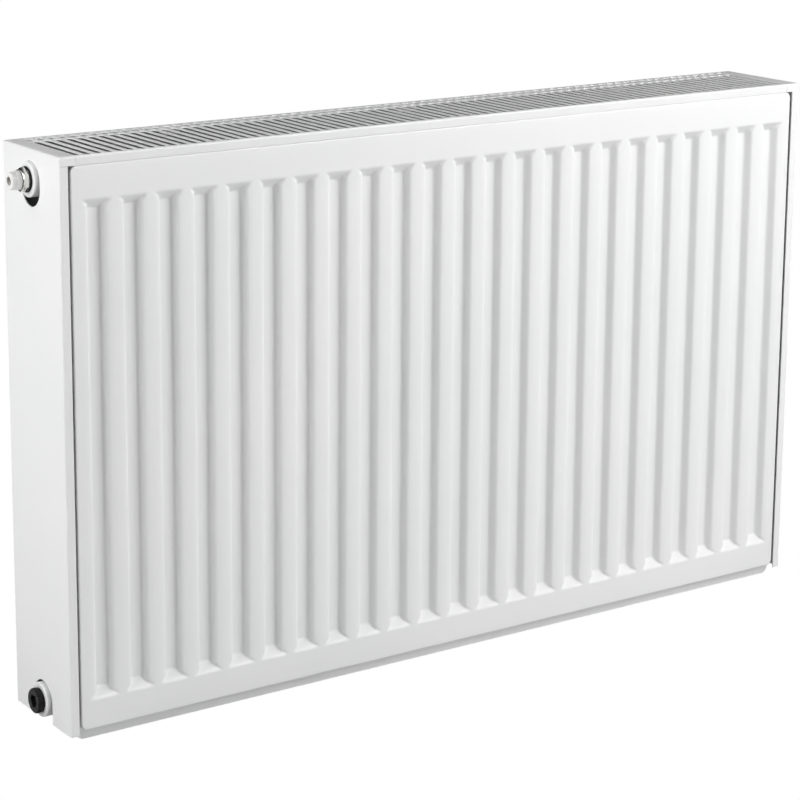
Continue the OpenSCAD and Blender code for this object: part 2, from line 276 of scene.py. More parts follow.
CLIP_PLASTIC = surface(
    "clip_plastic", [(0.72, 0.71, 0.68), (0.78, 0.77, 0.74)], (0.42, 0.52),
    cloud_scale=40, grain_scale=1200, grain_depth=0.02,
)
PLUG_PLASTIC = surface(
    "plug_plastic", [(0.008, 0.008, 0.009), (0.016, 0.016, 0.017)], (0.16, 0.24),
    cloud_scale=80, grain_scale=1800, grain_depth=0.02, specular=0.2,
)
RUBBER = surface(
    "seal_rubber", [(0.006, 0.006, 0.006), (0.012, 0.012, 0.012)], (0.3, 0.4),
    cloud_scale=150, grain_scale=2500, grain_depth=0.02, specular=0.2,
)

# -------------------------------------------------------------- pressed panels

# Pressing of the panels: grooves between the water channels, a drafted edge and the seam flange
# The grooves lie a pitch apart on both sides of the middle one
CHANNELS = 24
PITCH = 2 * HALF_L / CHANNELS
GROOVES = 11
GROOVE_DEPTH = 8.3
GROOVE_FLOOR = 5.6
GROOVE_SIDE = [(0, GROOVE_DEPTH), (3.3, 1.2), (7.9, 0)]
GROOVE_SIDE_RADII = [2.6, 3.2, 18]
GROOVE_HALF_H = 205.5
GROOVE_END = [(0, GROOVE_DEPTH), (8, 0)]
GROOVE_END_RADII = [1.4, 3]
GROOVE_MITRE = 0.12
SHEET = 1.2
SEAM_DEPTH = GROOVE_DEPTH + SHEET
seam_low, seam_high = casing_box("front_outer_sheet")
FACE_HALF_X = HALF_L - 10.1
FACE_LOW = 10.4
FACE_HIGH = TOP - 8.1
FACE_MARGIN = 6
EDGE_RADIUS = 1.8
FOOT_RADIUS = 0.8
WALL_DRAFT = 0.2
SEAM_SIDE = 1.2
FLANGE_CORNER = 7
CORNER_STEPS = 8

# Grid lines of a sheet, counted from a groove's middle and from the middle of the height. They lie
# close together where the pressing bends, and closest on the outer sheets, which are seen.
OUTER_ACROSS = [0, 2.6, 3.5, 4.0, 4.4, 4.8, 5.2, 5.6, 6, 6.4, 7, 7.6, 7.9, 8.2, 8.5, 8.8, 9.1, 9.5]
OUTER_ACROSS += [10, 10.6, 11.3, 12.2, 13.3, 14.5, 15.8]
OUTER_ALONG = [0, 60, 120, 170, 198, 202, 203.4, 204, 204.5, 205, 205.6, 206.4, 207.4, 208.8, 210.2]
OUTER_ALONG += [211.2, 212, 212.8, 213.6, 214.4, 215.2, 217, 220, 225]
INNER_ACROSS = [0, 3.6, 4.8, 5.8, 7.6, 8.6, 10, 13, 15.8]
INNER_ALONG = [0, 100, 200, 203.8, 205, 206.2, 211, 213, 215, 222]
LEAST_STEP_X = 0.5
LEAST_STEP_Z = 1
FLANGE_OVERLAP = 4


def wall_section(corners, radii):
    """Section of a groove's wall from the floor to the face: distance from the corner at the
    floor, and depth below the face."""
    reach = 20
    start = (corners[0][0] - reach, corners[0][1])
    end = (corners[-1][0] + reach, corners[-1][1])
    return np.array(rounded_path([start, *corners, end], radii, 10)[1:-1]).T


SIDE_WALL = wall_section(GROOVE_SIDE, GROOVE_SIDE_RADII)
END_WALL = wall_section(GROOVE_END, GROOVE_END_RADII)


def along_wall(distance, wall):
    """Where a point lies on the wall: 0 at the start of its foot and 1 at the end of its rim."""
    return (distance - wall[0][0]) / (wall[0][-1] - wall[0][0])


def depth_on_wall(t, wall):
    return np.interp(t * (wall[0][-1] - wall[0][0]) + wall[0][0], wall[0], wall[1])


def groove_depth(x, z):
    """Depth of the grooves below the face, with rounded rims and floors and mitred ends."""
    nearest = np.clip(np.round(x / PITCH), -GROOVES, GROOVES) * PITCH
    u = along_wall(np.abs(x - nearest) - GROOVE_FLOOR, SIDE_WALL)
    v = along_wall(np.abs(z - TOP / 2) - GROOVE_HALF_H, END_WALL)
    t = (u + v + np.sqrt((u - v) ** 2 + GROOVE_MITRE**2)) / 2
    side_share = np.clip((u - v) / (2 * GROOVE_MITRE) + 0.5, 0, 1)
    return side_share * depth_on_wall(t, SIDE_WALL) + (1 - side_share) * depth_on_wall(t, END_WALL)


def pressed_sheet(name, mirrored, face_y, outer):
    """One pressed sheet: a grid over the face, then rings round its edge down to the flange."""
    across, along = (OUTER_ACROSS, OUTER_ALONG) if outer else (INNER_ACROSS, INNER_ALONG)
    offsets = sorted(set([-a for a in across] + across))
    x_lines = sorted(k * PITCH + a for k in range(-GROOVES, GROOVES + 1) for a in offsets)
    x_end = FACE_HALF_X - FACE_MARGIN
    x_lines = [-x_end, *[x for x in x_lines if abs(x) < x_end - LEAST_STEP_X], x_end]
    middle = TOP / 2
    z_low, z_high = FACE_LOW + FACE_MARGIN, FACE_HIGH - FACE_MARGIN
    z_lines = sorted(set([middle - a for a in along] + [middle + a for a in along]))
    z_lines = [z for z in z_lines if z_low + LEAST_STEP_Z < z < z_high - LEAST_STEP_Z]
    z_lines = [z_low, *z_lines, z_high]
    nx, nz = len(x_lines), len(z_lines)
    gx, gz = np.meshgrid(x_lines, z_lines)
    points = list(np.stack([gx.ravel(), groove_depth(gx, gz).ravel(), gz.ravel()], axis=1))
    faces = []
    for j in range(nz - 1):
        for i in range(nx - 1):
            a = j * nx + i
            faces.append((a, a + 1, a + nx + 1, a + nx))

    # The loop round the grid: (vertex, direction outwards, whether it belongs to a corner)
    loop = []
    sides = [
        (list(range(nx)), -90),
        ([j * nx + nx - 1 for j in range(nz)], 0),
        ([(nz - 1) * nx + i for i in reversed(range(nx))], 90),
        ([j * nx for j in reversed(range(nz))], 180),
    ]
    for indices, degrees in sides:
        for index in indices:
            loop.append((index, degrees, index in (indices[0], indices[-1])))
        for k in range(1, CORNER_STEPS):
            loop.append((indices[-1], degrees + 90 * k / CORNER_STEPS, True))

    # Section of the edge: face, rounded edge, drafted wall, fillet and flange
    foot = FACE_MARGIN + WALL_DRAFT
    section = rounded_path(
        [(0, 0), (FACE_MARGIN, 0), (foot, GROOVE_DEPTH), (foot + FLANGE_OVERLAP, GROOVE_DEPTH)],
        [EDGE_RADIUS, FOOT_RADIUS],
        6 if outer else 3,
    )[1:-1]
    rings = []
    for offset, depth in section:
        ring = []
        for index, degrees, _ in loop:
            x, _, z = points[index]
            a = math.radians(degrees)
            ring.append((x + offset * math.cos(a), depth, z + offset * math.sin(a)))
        rings.append(ring)
    flange = []
    for index, degrees, corner in loop:
        x, _, z = points[index]
        a = math.radians(degrees)
        c, s = math.cos(a), math.sin(a)
        if corner:
            x = math.copysign(FACE_HALF_X + SEAM_SIDE - FLANGE_CORNER, x) + FLANGE_CORNER * c
            z = seam_low.z + FLANGE_CORNER if z < middle else seam_high.z - FLANGE_CORNER
            z += FLANGE_CORNER * s
        elif abs(s) > 0.5:
            z = seam_low.z if s < 0 else seam_high.z
        else:
            x = math.copysign(FACE_HALF_X + SEAM_SIDE, c)
        flange.append((x, GROOVE_DEPTH, z))
    rings.append(flange)
    previous = [index for index, _, _ in loop]
    for ring in rings:
        start = len(points)
        points += [np.array(p) for p in ring]
        current = list(range(start, start + len(ring)))
        for k in range(len(loop)):
            n = (k + 1) % len(loop)
            face = [previous[k], previous[n], current[n], current[k]]
            faces.append(tuple(dict.fromkeys(face)))
        previous = current

    inward = -1 if mirrored else 1
    placed = [(p[0], face_y + inward * p[1], p[2]) for p in points]
    obj = make_object(name, placed, faces, outward=(0, -inward, 0))
    thicken(obj, SHEET)
    settle(obj, weighted=False)
    # The inner sheets take the dark grey, which is painted shade for the inside of the casing
    slot, material = ("paint", PAINT) if outer else ("primer", PRIMER_PAINTED_SHADE)
    hand_over(obj, "root", name.replace("pressed_", ""), slot, material)


PANEL_D = 2 * SEAM_DEPTH
pressed_sheet("pressed_front_outer_sheet", False, -HALF_D, True)
pressed_sheet("pressed_front_inner_sheet", True, -HALF_D + PANEL_D, False)
pressed_sheet("pressed_rear_outer_sheet", True, HALF_D, True)
pressed_sheet("pressed_rear_inner_sheet", False, HALF_D - PANEL_D, False)

# ------------------------------------------------------------------ convectors

FIN = 0.5
FIN_FOLDS = CHANNELS - 2
FIN_FLAT = 3.5
FIN_RADIUS = 1.4


def convector(name, node, side):
    """Folded sheet between a panel and the middle of the casing: side is -1 for the front one."""
    low, high = casing_box(node)
    near = low.y + FIN / 2 if side < 0 else high.y - FIN / 2
    far = high.y - FIN / 2 if side < 0 else low.y + FIN / 2
    corners = []
    for i in range(1, FIN_FOLDS + 1):
        crest = (i + 0.5) * PITCH - HALF_L
        corners += [(crest - FIN_FLAT, near), (crest + FIN_FLAT, near)]
        if i < FIN_FOLDS:
            trough = (i + 1) * PITCH - HALF_L
            corners += [(trough - FIN_FLAT, far), (trough + FIN_FLAT, far)]
    path = rounded_path(corners, [FIN_RADIUS] * (len(corners) - 2), 3)
    levels = [low.z, low.z + 1, (low.z + high.z) / 2, high.z - 1, high.z]
    points = [(x, y, z) for z in levels for x, y in path]
    n = len(path)
    faces = []
    for j in range(len(levels) - 1):
        for i in range(n - 1):
            faces.append((j * n + i, j * n + i + 1, (j + 1) * n + i + 1, (j + 1) * n + i))
    obj = make_object(name, points, faces, outward=(0, side, 0))
    thicken(obj, FIN)
    obj.modifiers[-1].offset = 0
    settle(obj, weighted=False)
    # The convectors take the dark grey too, which is painted shade for the inside of the casing
    hand_over(obj, "root", node, "primer", PRIMER_PAINTED_SHADE)


convector("folded_front_convector", "front_convector", -1)
convector("folded_rear_convector", "rear_convector", 1)

# ------------------------------------------------------------ ports and fittings

tee_low, tee_high = casing_box("top_left_tee")
PORT_X = -tee_low.x
low_tee_low, low_tee_high = casing_box("bottom_left_tee")
PORT_Z = [(tee_low.z + tee_high.z) / 2, (low_tee_low.z + low_tee_high.z) / 2]
BARREL_R = 15
BARREL_L = PORT_X + tee_high.x
BARREL_RIM = 1.2
BARREL_BACK_RIM = 2
BARREL_BASE = 3
THREAD_START = 0.8
THREAD_CREST = 9.3
THREAD_DEPTH = 1.1
THREAD_PITCH = 1.814
THREAD_L = 18
THREAD_STEPS = 5
WATER_R = 8
CROSS_R = 11
TEE_X = PORT_X - 29.5
DUCT_HALF = 32
ROUND = 64


def thread_wave(phase):
    """Depth of an inner thread below its crest: 0 at the crest and 1 at the root, both flat."""
    triangle = 1 - np.abs(2 * (phase % 1) - 1)
    return np.clip(triangle * 1.5 - 0.25, 0, 1)


def tee_parts():
    """Points and faces of a tee's barrel, bored and threaded, and of its cross tube."""
    rows = []
    count = int(THREAD_L / THREAD_PITCH * THREAD_STEPS)
    for k in range(count + 1):
        # The thread rises over its first millimetre and fades out over its last two
        depth = THREAD_L * k / count
        fade = min(1, (THREAD_L - depth) / 2, (depth + 0.2) / 1.2)

        def radius(angles, depth=depth, fade=fade):
            wave = thread_wave(depth / THREAD_PITCH + angles / (2 * math.pi))
            return THREAD_CREST + THREAD_DEPTH * wave * fade

        rows.append((radius, -depth - THREAD_START))
    entry = arc((BARREL_R - BARREL_RIM, -BARREL_RIM), BARREL_RIM, 0, 90, 4)
    entry += [(THREAD_CREST + THREAD_DEPTH + 0.5, 0), (THREAD_CREST + 0.4, -0.7)]
    # Behind the thread the bore narrows to the water way, which ends in a shallow cone
    bore_end = -BARREL_L + BARREL_BASE
    back = [(THREAD_CREST, -THREAD_L - 0.9), (WATER_R, -THREAD_L - 1.6), (WATER_R, bore_end + 1)]
    back += [(WATER_R * 0.5, bore_end + 0.2), (0.01, bore_end)]
    rear = [(0.01, -BARREL_L), (BARREL_R - 3, -BARREL_L)]
    rear_rim = (BARREL_R - BARREL_BACK_RIM, -BARREL_L + BARREL_BACK_RIM)
    rear += arc(rear_rim, BARREL_BACK_RIM, -90, 0, 4)
    barrel = revolve(rear + entry + rows + back, ROUND)
    tube_rows = [(WATER_R, -DUCT_HALF), (CROSS_R, -DUCT_HALF)]
    tube_rows += [(CROSS_R, DUCT_HALF), (WATER_R, DUCT_HALF)]
    return barrel, revolve(tube_rows, ROUND)


def tee(name, node, right, port_z):
    """The tee at one port. The right ones are turned half round: every thread is right-handed."""
    (barrel_points, barrel_faces), (tube_points, tube_faces) = tee_parts()
    barrel_points = on_left_port(barrel_points, port_z)
    tube_points = np.stack(
        [tube_points[:, 0] - TEE_X, tube_points[:, 2], tube_points[:, 1] + port_z], axis=1
    )
    if right:
        barrel_points = barrel_points * [-1, -1, 1]
        tube_points = tube_points * [-1, -1, 1]
    obj = make_object(name, barrel_points, barrel_faces)
    tube = make_object(name + "_tube", tube_points, tube_faces)
    combine(obj, tube, "UNION")
    settle(obj, angle=32)
    bpy.data.objects.remove(tube)
    hand_over(obj, "root", node, "paint", PAINT)


tee("turned_top_left_tee", "top_left_tee", False, PORT_Z[0])
tee("turned_bottom_left_tee", "bottom_left_tee", False, PORT_Z[1])
tee("turned_top_right_tee", "top_right_tee", True, PORT_Z[0])
tee("turned_bottom_right_tee", "bottom_right_tee", True, PORT_Z[1])


def polygon_radius(sides, apothem, turn=0.0):
    """Radius of a regular polygon as a function of the angle; a flat faces the angle turn."""
    step = 2 * math.pi / sides

    def radius(angles):
        local = (angles - turn + step / 2) % step - step / 2
        return apothem / np.cos(local)

    return radius


def fitting(name, node, body, slot, material, rows, port_z, count=96, angle=35):
    points, faces = revolve(rows, count)
    obj = make_object(name, on_left_port(points, port_z), faces)
    settle(obj, angle=angle)
    hand_over(obj, body, node, slot, material)


def ring_rows(radius, section, z):
    """Rows of a sealing ring's round section."""
    return [(radius + r, z + h) for r, h in arc((0, 0), section, 0, 337.5, 15)]


# Vent: lengths are measured outwards from the face of the port
HEAD_START = 1.6
HEX_HALF = 9
HEX_CHAMFER = 0.1
HEX_END = HEAD_START + 5.2
SPOUT_START = HEX_END + 0.3
SPOUT_END = SPOUT_START + 9
SPOUT_R = 8
SPOUT_NECK_R = 7.5
SPOUT_HOLE = 3.6
OUTLET_Z = SPOUT_START + 5.3
JOURNAL_R = 6
JOURNAL_END = SPOUT_END - 2
STEM_R = 9.2
STEM_L = 12
NECK_R = 9.3
SEAL_R = 10.1
SEAL_SECTION = 0.8
VALVE_SEAT = 3
SCREW_R = 2.55
SCREW_END = SPOUT_START + 2
KEY_HALF = 2.5
KEY_CORNER = 1.3
KEY_END = SCREW_END + 5
WATER_WAY_R = 1.7
SCREW_BORE_R = 2.6
RECESS_R = 3.75
SMALL_CHAMFER = 0.4
SPOUT_FIT = 0.05
SPOUT_WALL = 1.7
SPOUT_ROUND = 1.3
INNER_SEAL_Z = SPOUT_START + 3
INNER_SEAL_HALF = 0.65
OUTLET_R = 1

# Rows of the outside of a plain stem and of the neck that carries the sealing ring
STEM_ROWS = [(STEM_R - 1, -STEM_L), (STEM_R, -STEM_L + 1), (STEM_R, -0.2)]
STEM_ROWS += [(NECK_R, 0), (NECK_R, HEAD_START)]
# Distances from an end of the hexagon at which its chamfer has a row
HEX_CHAMFER_ROWS = [0, 0.25, 0.5, 0.75, 1]


def vent_rows():
    hexagon = polygon_radius(6, HEX_HALF, math.pi / 6)

    def chamfered(z):
        reach = min(z - HEAD_START, HEX_END - z) * math.sqrt(3)
        return lambda angles: np.minimum(hexagon(angles), HEX_HALF - HEX_CHAMFER + reach)

    rows = [(WATER_WAY_R, -STEM_L), *STEM_ROWS]
    rows += [(chamfered(HEAD_START + d), HEAD_START + d) for d in HEX_CHAMFER_ROWS]
    rows += [(chamfered(HEX_END - d), HEX_END - d) for d in reversed(HEX_CHAMFER_ROWS)]
    seal_low, seal_high = INNER_SEAL_Z - INNER_SEAL_HALF, INNER_SEAL_Z + INNER_SEAL_HALF
    groove_r = JOURNAL_R - 2 * INNER_SEAL_HALF
    rows += [(JOURNAL_R, HEX_END), (JOURNAL_R, seal_low), (groove_r, seal_low)]
    rows += [(groove_r, seal_high), (JOURNAL_R, seal_high)]
    rows += [(JOURNAL_R, JOURNAL_END - SMALL_CHAMFER), (JOURNAL_R - SMALL_CHAMFER, JOURNAL_END)]
    rows += [(RECESS_R + SMALL_CHAMFER, JOURNAL_END), (RECESS_R, JOURNAL_END - SMALL_CHAMFER)]
    rows += [(RECESS_R, SCREW_END), (SCREW_BORE_R, SCREW_END), (SCREW_BORE_R, VALVE_SEAT)]
    rows += [(WATER_WAY_R, VALVE_SEAT)]
    return rows


def spout_rows():
    inner = JOURNAL_R + SPOUT_FIT
    rows = [(inner, SPOUT_START), (SPOUT_R - 0.3, SPOUT_START), (SPOUT_R, SPOUT_START + 0.3)]
    rows += [(SPOUT_R, SPOUT_START + 3.6), (SPOUT_NECK_R, SPOUT_START + 4.1)]
    rows += arc((SPOUT_NECK_R - SPOUT_ROUND, SPOUT_END - SPOUT_ROUND), SPOUT_ROUND, 0, 90, 6)
    rim = (SPOUT_HOLE + SMALL_CHAMFER, SPOUT_END - SMALL_CHAMFER)
    rows += [(rim[0], SPOUT_END)]
    rows += arc(rim, SMALL_CHAMFER, 90, 180, 3)[1:]
    rows += [(SPOUT_HOLE, SPOUT_END - SPOUT_WALL), (inner, SPOUT_END - SPOUT_WALL)]
    return rows


fitting(
    "machined_vent_body", "vent_body", "root", "nickel", NICKEL,
    vent_rows(), PORT_Z[0], 120, 24,
)
fitting(
    "moulded_vent_seal", "vent_seal", "root", "rubber", RUBBER,
    ring_rows(SEAL_R, SEAL_SECTION, SEAL_SECTION), PORT_Z[0],
)
fitting(
    "moulded_plug_seal", "blank_plug_seal", "root", "rubber", RUBBER,
    ring_rows(SEAL_R, SEAL_SECTION, SEAL_SECTION), PORT_Z[1],
)

spout_points, spout_faces = revolve(spout_rows(), 96)
spout = make_object("moulded_vent_spout", on_left_port(spout_points, PORT_Z[0]), spout_faces)
outlet_rows = [(0.01, -1.5 * SPOUT_R), (OUTLET_R, -1.5 * SPOUT_R)]
outlet_rows += [(OUTLET_R, -JOURNAL_R), (0.01, -JOURNAL_R)]
outlet_points, outlet_faces = revolve(outlet_rows, 24)
outlet_points = outlet_points + [-PORT_X - OUTLET_Z, 0, PORT_Z[0]]
outlet = make_object("outlet_cutter", outlet_points, outlet_faces)
combine(spout, outlet, "DIFFERENCE")
settle(spout, angle=35)
bpy.data.objects.remove(outlet)
hand_over(spout, "spout", "vent_spout", "spout_plastic", SPOUT_PLASTIC)


def key_square(size):
    """Radius of a square with rounded corners, as a function of the angle."""
    square = polygon_radius(4, size)
    return lambda angles: np.minimum(square(angles), size * KEY_CORNER)


screw_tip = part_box("bleed_tip")
screw_base = -(screw_tip[0].x - CASING_MIDDLE.x) / MM - PORT_X
screw_rows = [(0.01, screw_base), (SCREW_R, screw_base)]
screw_rows += [(SCREW_R, SCREW_END - 0.2), (SCREW_R - 0.2, SCREW_END)]
screw_rows += [(key_square(KEY_HALF - 0.1), SCREW_END), (key_square(KEY_HALF), SCREW_END + 0.2)]
screw_rows += [(key_square(KEY_HALF), KEY_END - 0.5), (key_square(KEY_HALF - 0.35), KEY_END)]
screw_rows += [(0.01, KEY_END)]
fitting(
    "machined_bleed_screw", "bleed_screw", "bleed_screw", "brass", BRASS,
    screw_rows, PORT_Z[0], 96, 25,
)

# Blank plug: ribbed head with a hexagon socket
PLUG_R = 11
PLUG_END = HEAD_START + 4.4
SOCKET_END = PLUG_END - 4
SOCKET_HALF = 5
RIBS = 24
RIB_DEPTH = 0.9


def ribbed(reach, depth):
    """Radius of the plug's head with round ribs, cut in by depth between them."""

    def radius(angles):
        wave = np.abs(np.cos(angles * RIBS / 2))
        return reach - depth * (1 - wave)

    return radius


# The ribs start above a plain collar and fade out over the rounded front edge
socket = polygon_radius(6, SOCKET_HALF)
socket_rim = polygon_radius(6, SOCKET_HALF + SMALL_CHAMFER)
plug_rows = [(0.01, -STEM_L), *STEM_ROWS]
plug_rows += [(PLUG_R - 0.5, HEAD_START), (PLUG_R, HEAD_START + 0.5), (PLUG_R, HEAD_START + 0.9)]
full_rib = ribbed(PLUG_R, RIB_DEPTH)
plug_rows += [(full_rib, HEAD_START + 1.3), (full_rib, PLUG_END - 1.4)]
plug_rows += [(ribbed(PLUG_R - 0.15, 0.8), PLUG_END - 0.85)]
plug_rows += [(ribbed(PLUG_R - 0.5, 0.5), PLUG_END - 0.35), (ribbed(PLUG_R - 1.1, 0.2), PLUG_END)]
plug_rows += [(PLUG_R - 2, PLUG_END), (socket_rim, PLUG_END)]
plug_rows += [(socket, PLUG_END - SMALL_CHAMFER), (socket, SOCKET_END), (0.01, SOCKET_END)]
fitting(
    "moulded_blank_plug", "blank_plug", "root", "plug_plastic", PLUG_PLASTIC,
    plug_rows, PORT_Z[1], 240, 30,
)

# ------------------------------------------------------------------------ lugs

LUG_T = 2
LUG_FOOT_W = 7
LUG_RADII = [0.6, 2.6, 2.6, 0.6]
LUG_EDGE = 0.35


def lug(name, node):
    """Hanging lug: a strip bent to a strap, with its feet on two channels of the rear panel."""
    low, high = casing_box(node)
    centre = (low.x + high.x) / 2
    foot = (high.x - low.x) / 2
    strap = foot - LUG_FOOT_W
    base = low.y + LUG_T
    corners = [(-foot, base), (-strap, base), (-strap, high.y)]
    corners += [(strap, high.y), (strap, base), (foot, base)]
    path = rounded_path(corners, LUG_RADII, 5)
    n = len(path)
    points = [(centre + x, y, z) for z in (low.z, high.z) for x, y in path]
    faces = [(i, i + 1, n + i + 1, n + i) for i in range(n - 1)]
    obj = make_object(name, points, faces, outward=(0, 1, 0))
    thicken(obj, LUG_T)
    round_edges(obj, LUG_EDGE)
    settle(obj)
    hand_over(obj, "root", node, "paint", PAINT)


for corner in ("top_left", "bottom_left", "top_right", "bottom_right"):
    lug(f"bent_{corner}_lug", f"{corner}_lug")

# ---------------------------------------------------------- covers and grille

COVER_T = 1
FOLD_R = 2
FLANGE_W = 8
TOP_W = 15
LIP_H = 8
SEAM_GAP = 0.15
SEAM_COLUMNS = 4
EDGE_ROUND = 0.22
# Gaps round the ports in a side cover. The slot reaches down by the cover's lift and a little more.
SLOT_SIDE_GAP = 1.5
SLOT_TOP_GAP = 0.1
COVER_LIFT_GAP = 8
NOTCH_GAP = 2


def fill_flat(loops, inside):
    """Points and triangles of the flat region between the loops, kept where inside(x, y)."""
    points, edges = [], []
    for loop in loops:
        start = len(points)
        points += [Vector(p) for p in loop]
        edges += [(start + k, start + (k + 1) % len(loop)) for k in range(len(loop))]
    out, _, faces, _, _, _ = delaunay_2d_cdt(points, edges, [], 0, 1e-5)
    kept = []
    for face in faces:
        x = sum(out[i].x for i in face) / len(face)
        y = sum(out[i].y for i in face) / len(face)
        if inside(x, y):
            kept.append(tuple(face))
    return [(p.x, p.y) for p in out], kept


def stadium(x, y_low, y_high, radius, steps=12):
    """Loop of a round-ended slot along Y."""
    upper = arc((x, y_high - radius), radius, 0, 180, steps)
    lower = arc((x, y_low + radius), radius, 180, 360, steps)
    return upper + lower


def in_stadium(x, y, centre, y_low, y_high, radius):
    inner = min(max(y, y_low + radius), y_high - radius)
    return (x - centre) ** 2 + (y - inner) ** 2 < radius**2


def side_cover(name, node, body, right):
    """Side cover folded from one sheet: a slot for the upper port and a notch for the lower."""
    foot = casing_box(node)[0].z
    base_x, base_y = HALF_L - FOLD_R, HALF_D - FOLD_R
    corner = [-90 - 90 * k / 6 for k in range(7)]
    front = [(-HALF_L + TOP_W, -base_y, -90), (-HALF_L + FLANGE_W, -base_y, -90)]
    front += [(-base_x, -base_y, degrees) for degrees in corner]
    columns = front + [(x, -y, -degrees) for x, y, degrees in reversed(front)]
    web = len(front) - 1
    levels = [(z, 0) for z in (foot, TOP - LIP_H - SEAM_GAP, TOP - LIP_H)]
    levels += [(TOP - FOLD_R, 15 * k) for k in range(6)]
    points = []
    for z, degrees in levels:
        fold = math.radians(degrees)
        for x, y, direction in columns:
            a = math.radians(direction)
            reach, rise = FOLD_R * math.cos(fold), FOLD_R * math.sin(fold)
            points.append((x + reach * math.cos(a), y + reach * math.sin(a), z + rise))
    # Left out: the lip's extra width below the lip, the seam under the lip, which ends a third of the
    # way round the corner, and the flat web, which is filled in round its openings further down
    n = len(columns)
    faces = []
    for j in range(len(levels) - 1):
        for i in range(n - 1):
            mirrored = min(i, n - 2 - i)
            beside_flange = j < 2 and mirrored == 0
            seam = j == 1 and mirrored < SEAM_COLUMNS
            flat_web = i == web and j < 3
            if not (beside_flange or seam or flat_web):
                faces.append((j * n + i, j * n + i + 1, (j + 1) * n + i + 1, (j + 1) * n + i))
    top_loop = [(x, y, TOP) for x, y, _ in columns]
    last = (len(levels) - 1) * n
    ring = list(range(len(points), len(points) + n))
    points += top_loop
    faces += [(last + i, last + i + 1, ring[i + 1], ring[i]) for i in range(n - 1)]
    faces.append(tuple(ring))

    slot_r = BARREL_R + SLOT_SIDE_GAP
    slot = (PORT_Z[0] - BARREL_R - COVER_LIFT_GAP, PORT_Z[0] + BARREL_R + SLOT_TOP_GAP)
    notch_r = BARREL_R + NOTCH_GAP
    notch_arc = reversed(arc((0, PORT_Z[1]), notch_r, 0, 180, 24))
    notch = [(-notch_r, foot), *notch_arc, (notch_r, foot)]
    outline = [(base_y, z) for z, degrees in levels[:4]]
    outline += [(-base_y, z) for z, degrees in reversed(levels[:4])]
    outline += notch

    def in_web(y, z):
        if in_stadium(y, z, 0, *slot, slot_r):
            return False
        return not (abs(y) < notch_r and (z < PORT_Z[1] or math.hypot(y, z - PORT_Z[1]) < notch_r))

    flat, triangles = fill_flat([outline, stadium(0, *slot, slot_r, 24)], in_web)
    start = len(points)
    points += [(-HALF_L, y, z) for y, z in flat]
    faces += [tuple(start + i for i in face) for face in triangles]
    if right:
        points = [(-x, y, z) for x, y, z in points]
    obj = make_object(name, points, faces, outward=(1 if right else -1, 0, 0))
    thicken(obj, COVER_T)
    round_edges(obj, EDGE_ROUND)
    settle(obj)
    hand_over(obj, body, node, "paint", PAINT)


side_cover("folded_left_side_cover", "left_side_cover", "left_cover", False)
side_cover("folded_right_side_cover", "right_side_cover", "right_cover", True)

SLOT_PITCH = 10
SLOT_HALF_W = 3
SLOT_ROWS = [(4, 82), (86, 95.5)]
# The bars between the slots are arched over the width of their roll, and less at the slots' ends
BAR_ROLL = 1.9
BAR_ARCH = 1.2
END_ROLL = 0.75
GRILLE_T = 0.5
END_STRIP = 0.3
GRILLE_OVERLAP = 0.75
LIP_LEAN = 0.5


def grille(name, node):
    """Top grille: lips folded down at the front and the rear, and slots between arched bars."""
    half_x = casing_box(node)[1].x + GRILLE_OVERLAP
    count = int((half_x - SLOT_PITCH / 4) // SLOT_PITCH)

    def roll_at(x):
        """How far the bars' edges roll in beside the slot at x."""
        return min(BAR_ROLL, half_x - abs(x) - SLOT_HALF_W - END_STRIP)

    def widened(x, low, high, part):
        """Centre, ends and radius of a slot, widened by a part of the roll of its edges."""
        reach = part * END_ROLL * BAR_ROLL
        return x, low - HALF_D - reach, high - HALF_D + reach, SLOT_HALF_W + part * roll_at(x)

    centres = [i * SLOT_PITCH for i in range(-count, count + 1)]
    slots = [(x, low, high) for x in centres for low, high in SLOT_ROWS]
    base_y = HALF_D - FOLD_R
    section = [(HALF_D - LIP_LEAN, TOP - LIP_H)] + arc((base_y, TOP - FOLD_R), FOLD_R, 0, 90, 6)
    points, faces = [], []
    for side in (-1, 1):
        start = len(points)
        points += [(x, side * y, z) for x in (-half_x, half_x) for y, z in section]
        n = len(section)
        lower = range(start, start + n - 1)
        faces += [(i, i + 1, n + i + 1, n + i) for i in lower]
    loops = [[(-half_x, -base_y), (half_x, -base_y), (half_x, base_y), (-half_x, base_y)]]
    loops += [stadium(*widened(x, low, high, 1)) for x, low, high in slots]

    def on_bars(x, y):
        centre = round(x / SLOT_PITCH) * SLOT_PITCH
        if abs(centre) > count * SLOT_PITCH + 1:
            return True
        return not any(in_stadium(x, y, *widened(centre, low, high, 1)) for low, high in SLOT_ROWS)

    flat, triangles = fill_flat(loops, on_bars)
    start = len(points)
    points += [(x, y, TOP) for x, y in flat]
    faces += [tuple(start + i for i in face) for face in triangles]
    turns = np.linspace(0, math.pi / 2, 8)
    roll = [(1 - math.sin(a), BAR_ARCH * (1 - math.cos(a))) for a in turns]
    for x, low, high in slots:
        start = len(points)
        for part, drop in roll:
            ring = stadium(*widened(x, low, high, part))
            points += [(px, py, TOP - drop) for px, py in ring]
        n = len(ring)
        for j in range(len(roll) - 1):
            for k in range(n):
                m = (k + 1) % n
                upper, lower = start + j * n, start + (j + 1) * n
                faces.append((upper + k, upper + m, lower + m, lower + k))
    obj = make_object(name, points, faces, outward=(0, 0, 1))
    thicken(obj, GRILLE_T)
    settle(obj, angle=50)
    hand_over(obj, "grille", node, "paint", PAINT)


grille("stamped_top_grille", "top_grille")

# ---------------------------------------------------------- carried CAD nodes

CLIP_EDGE = 0.25
WELD_GAP = 0.01

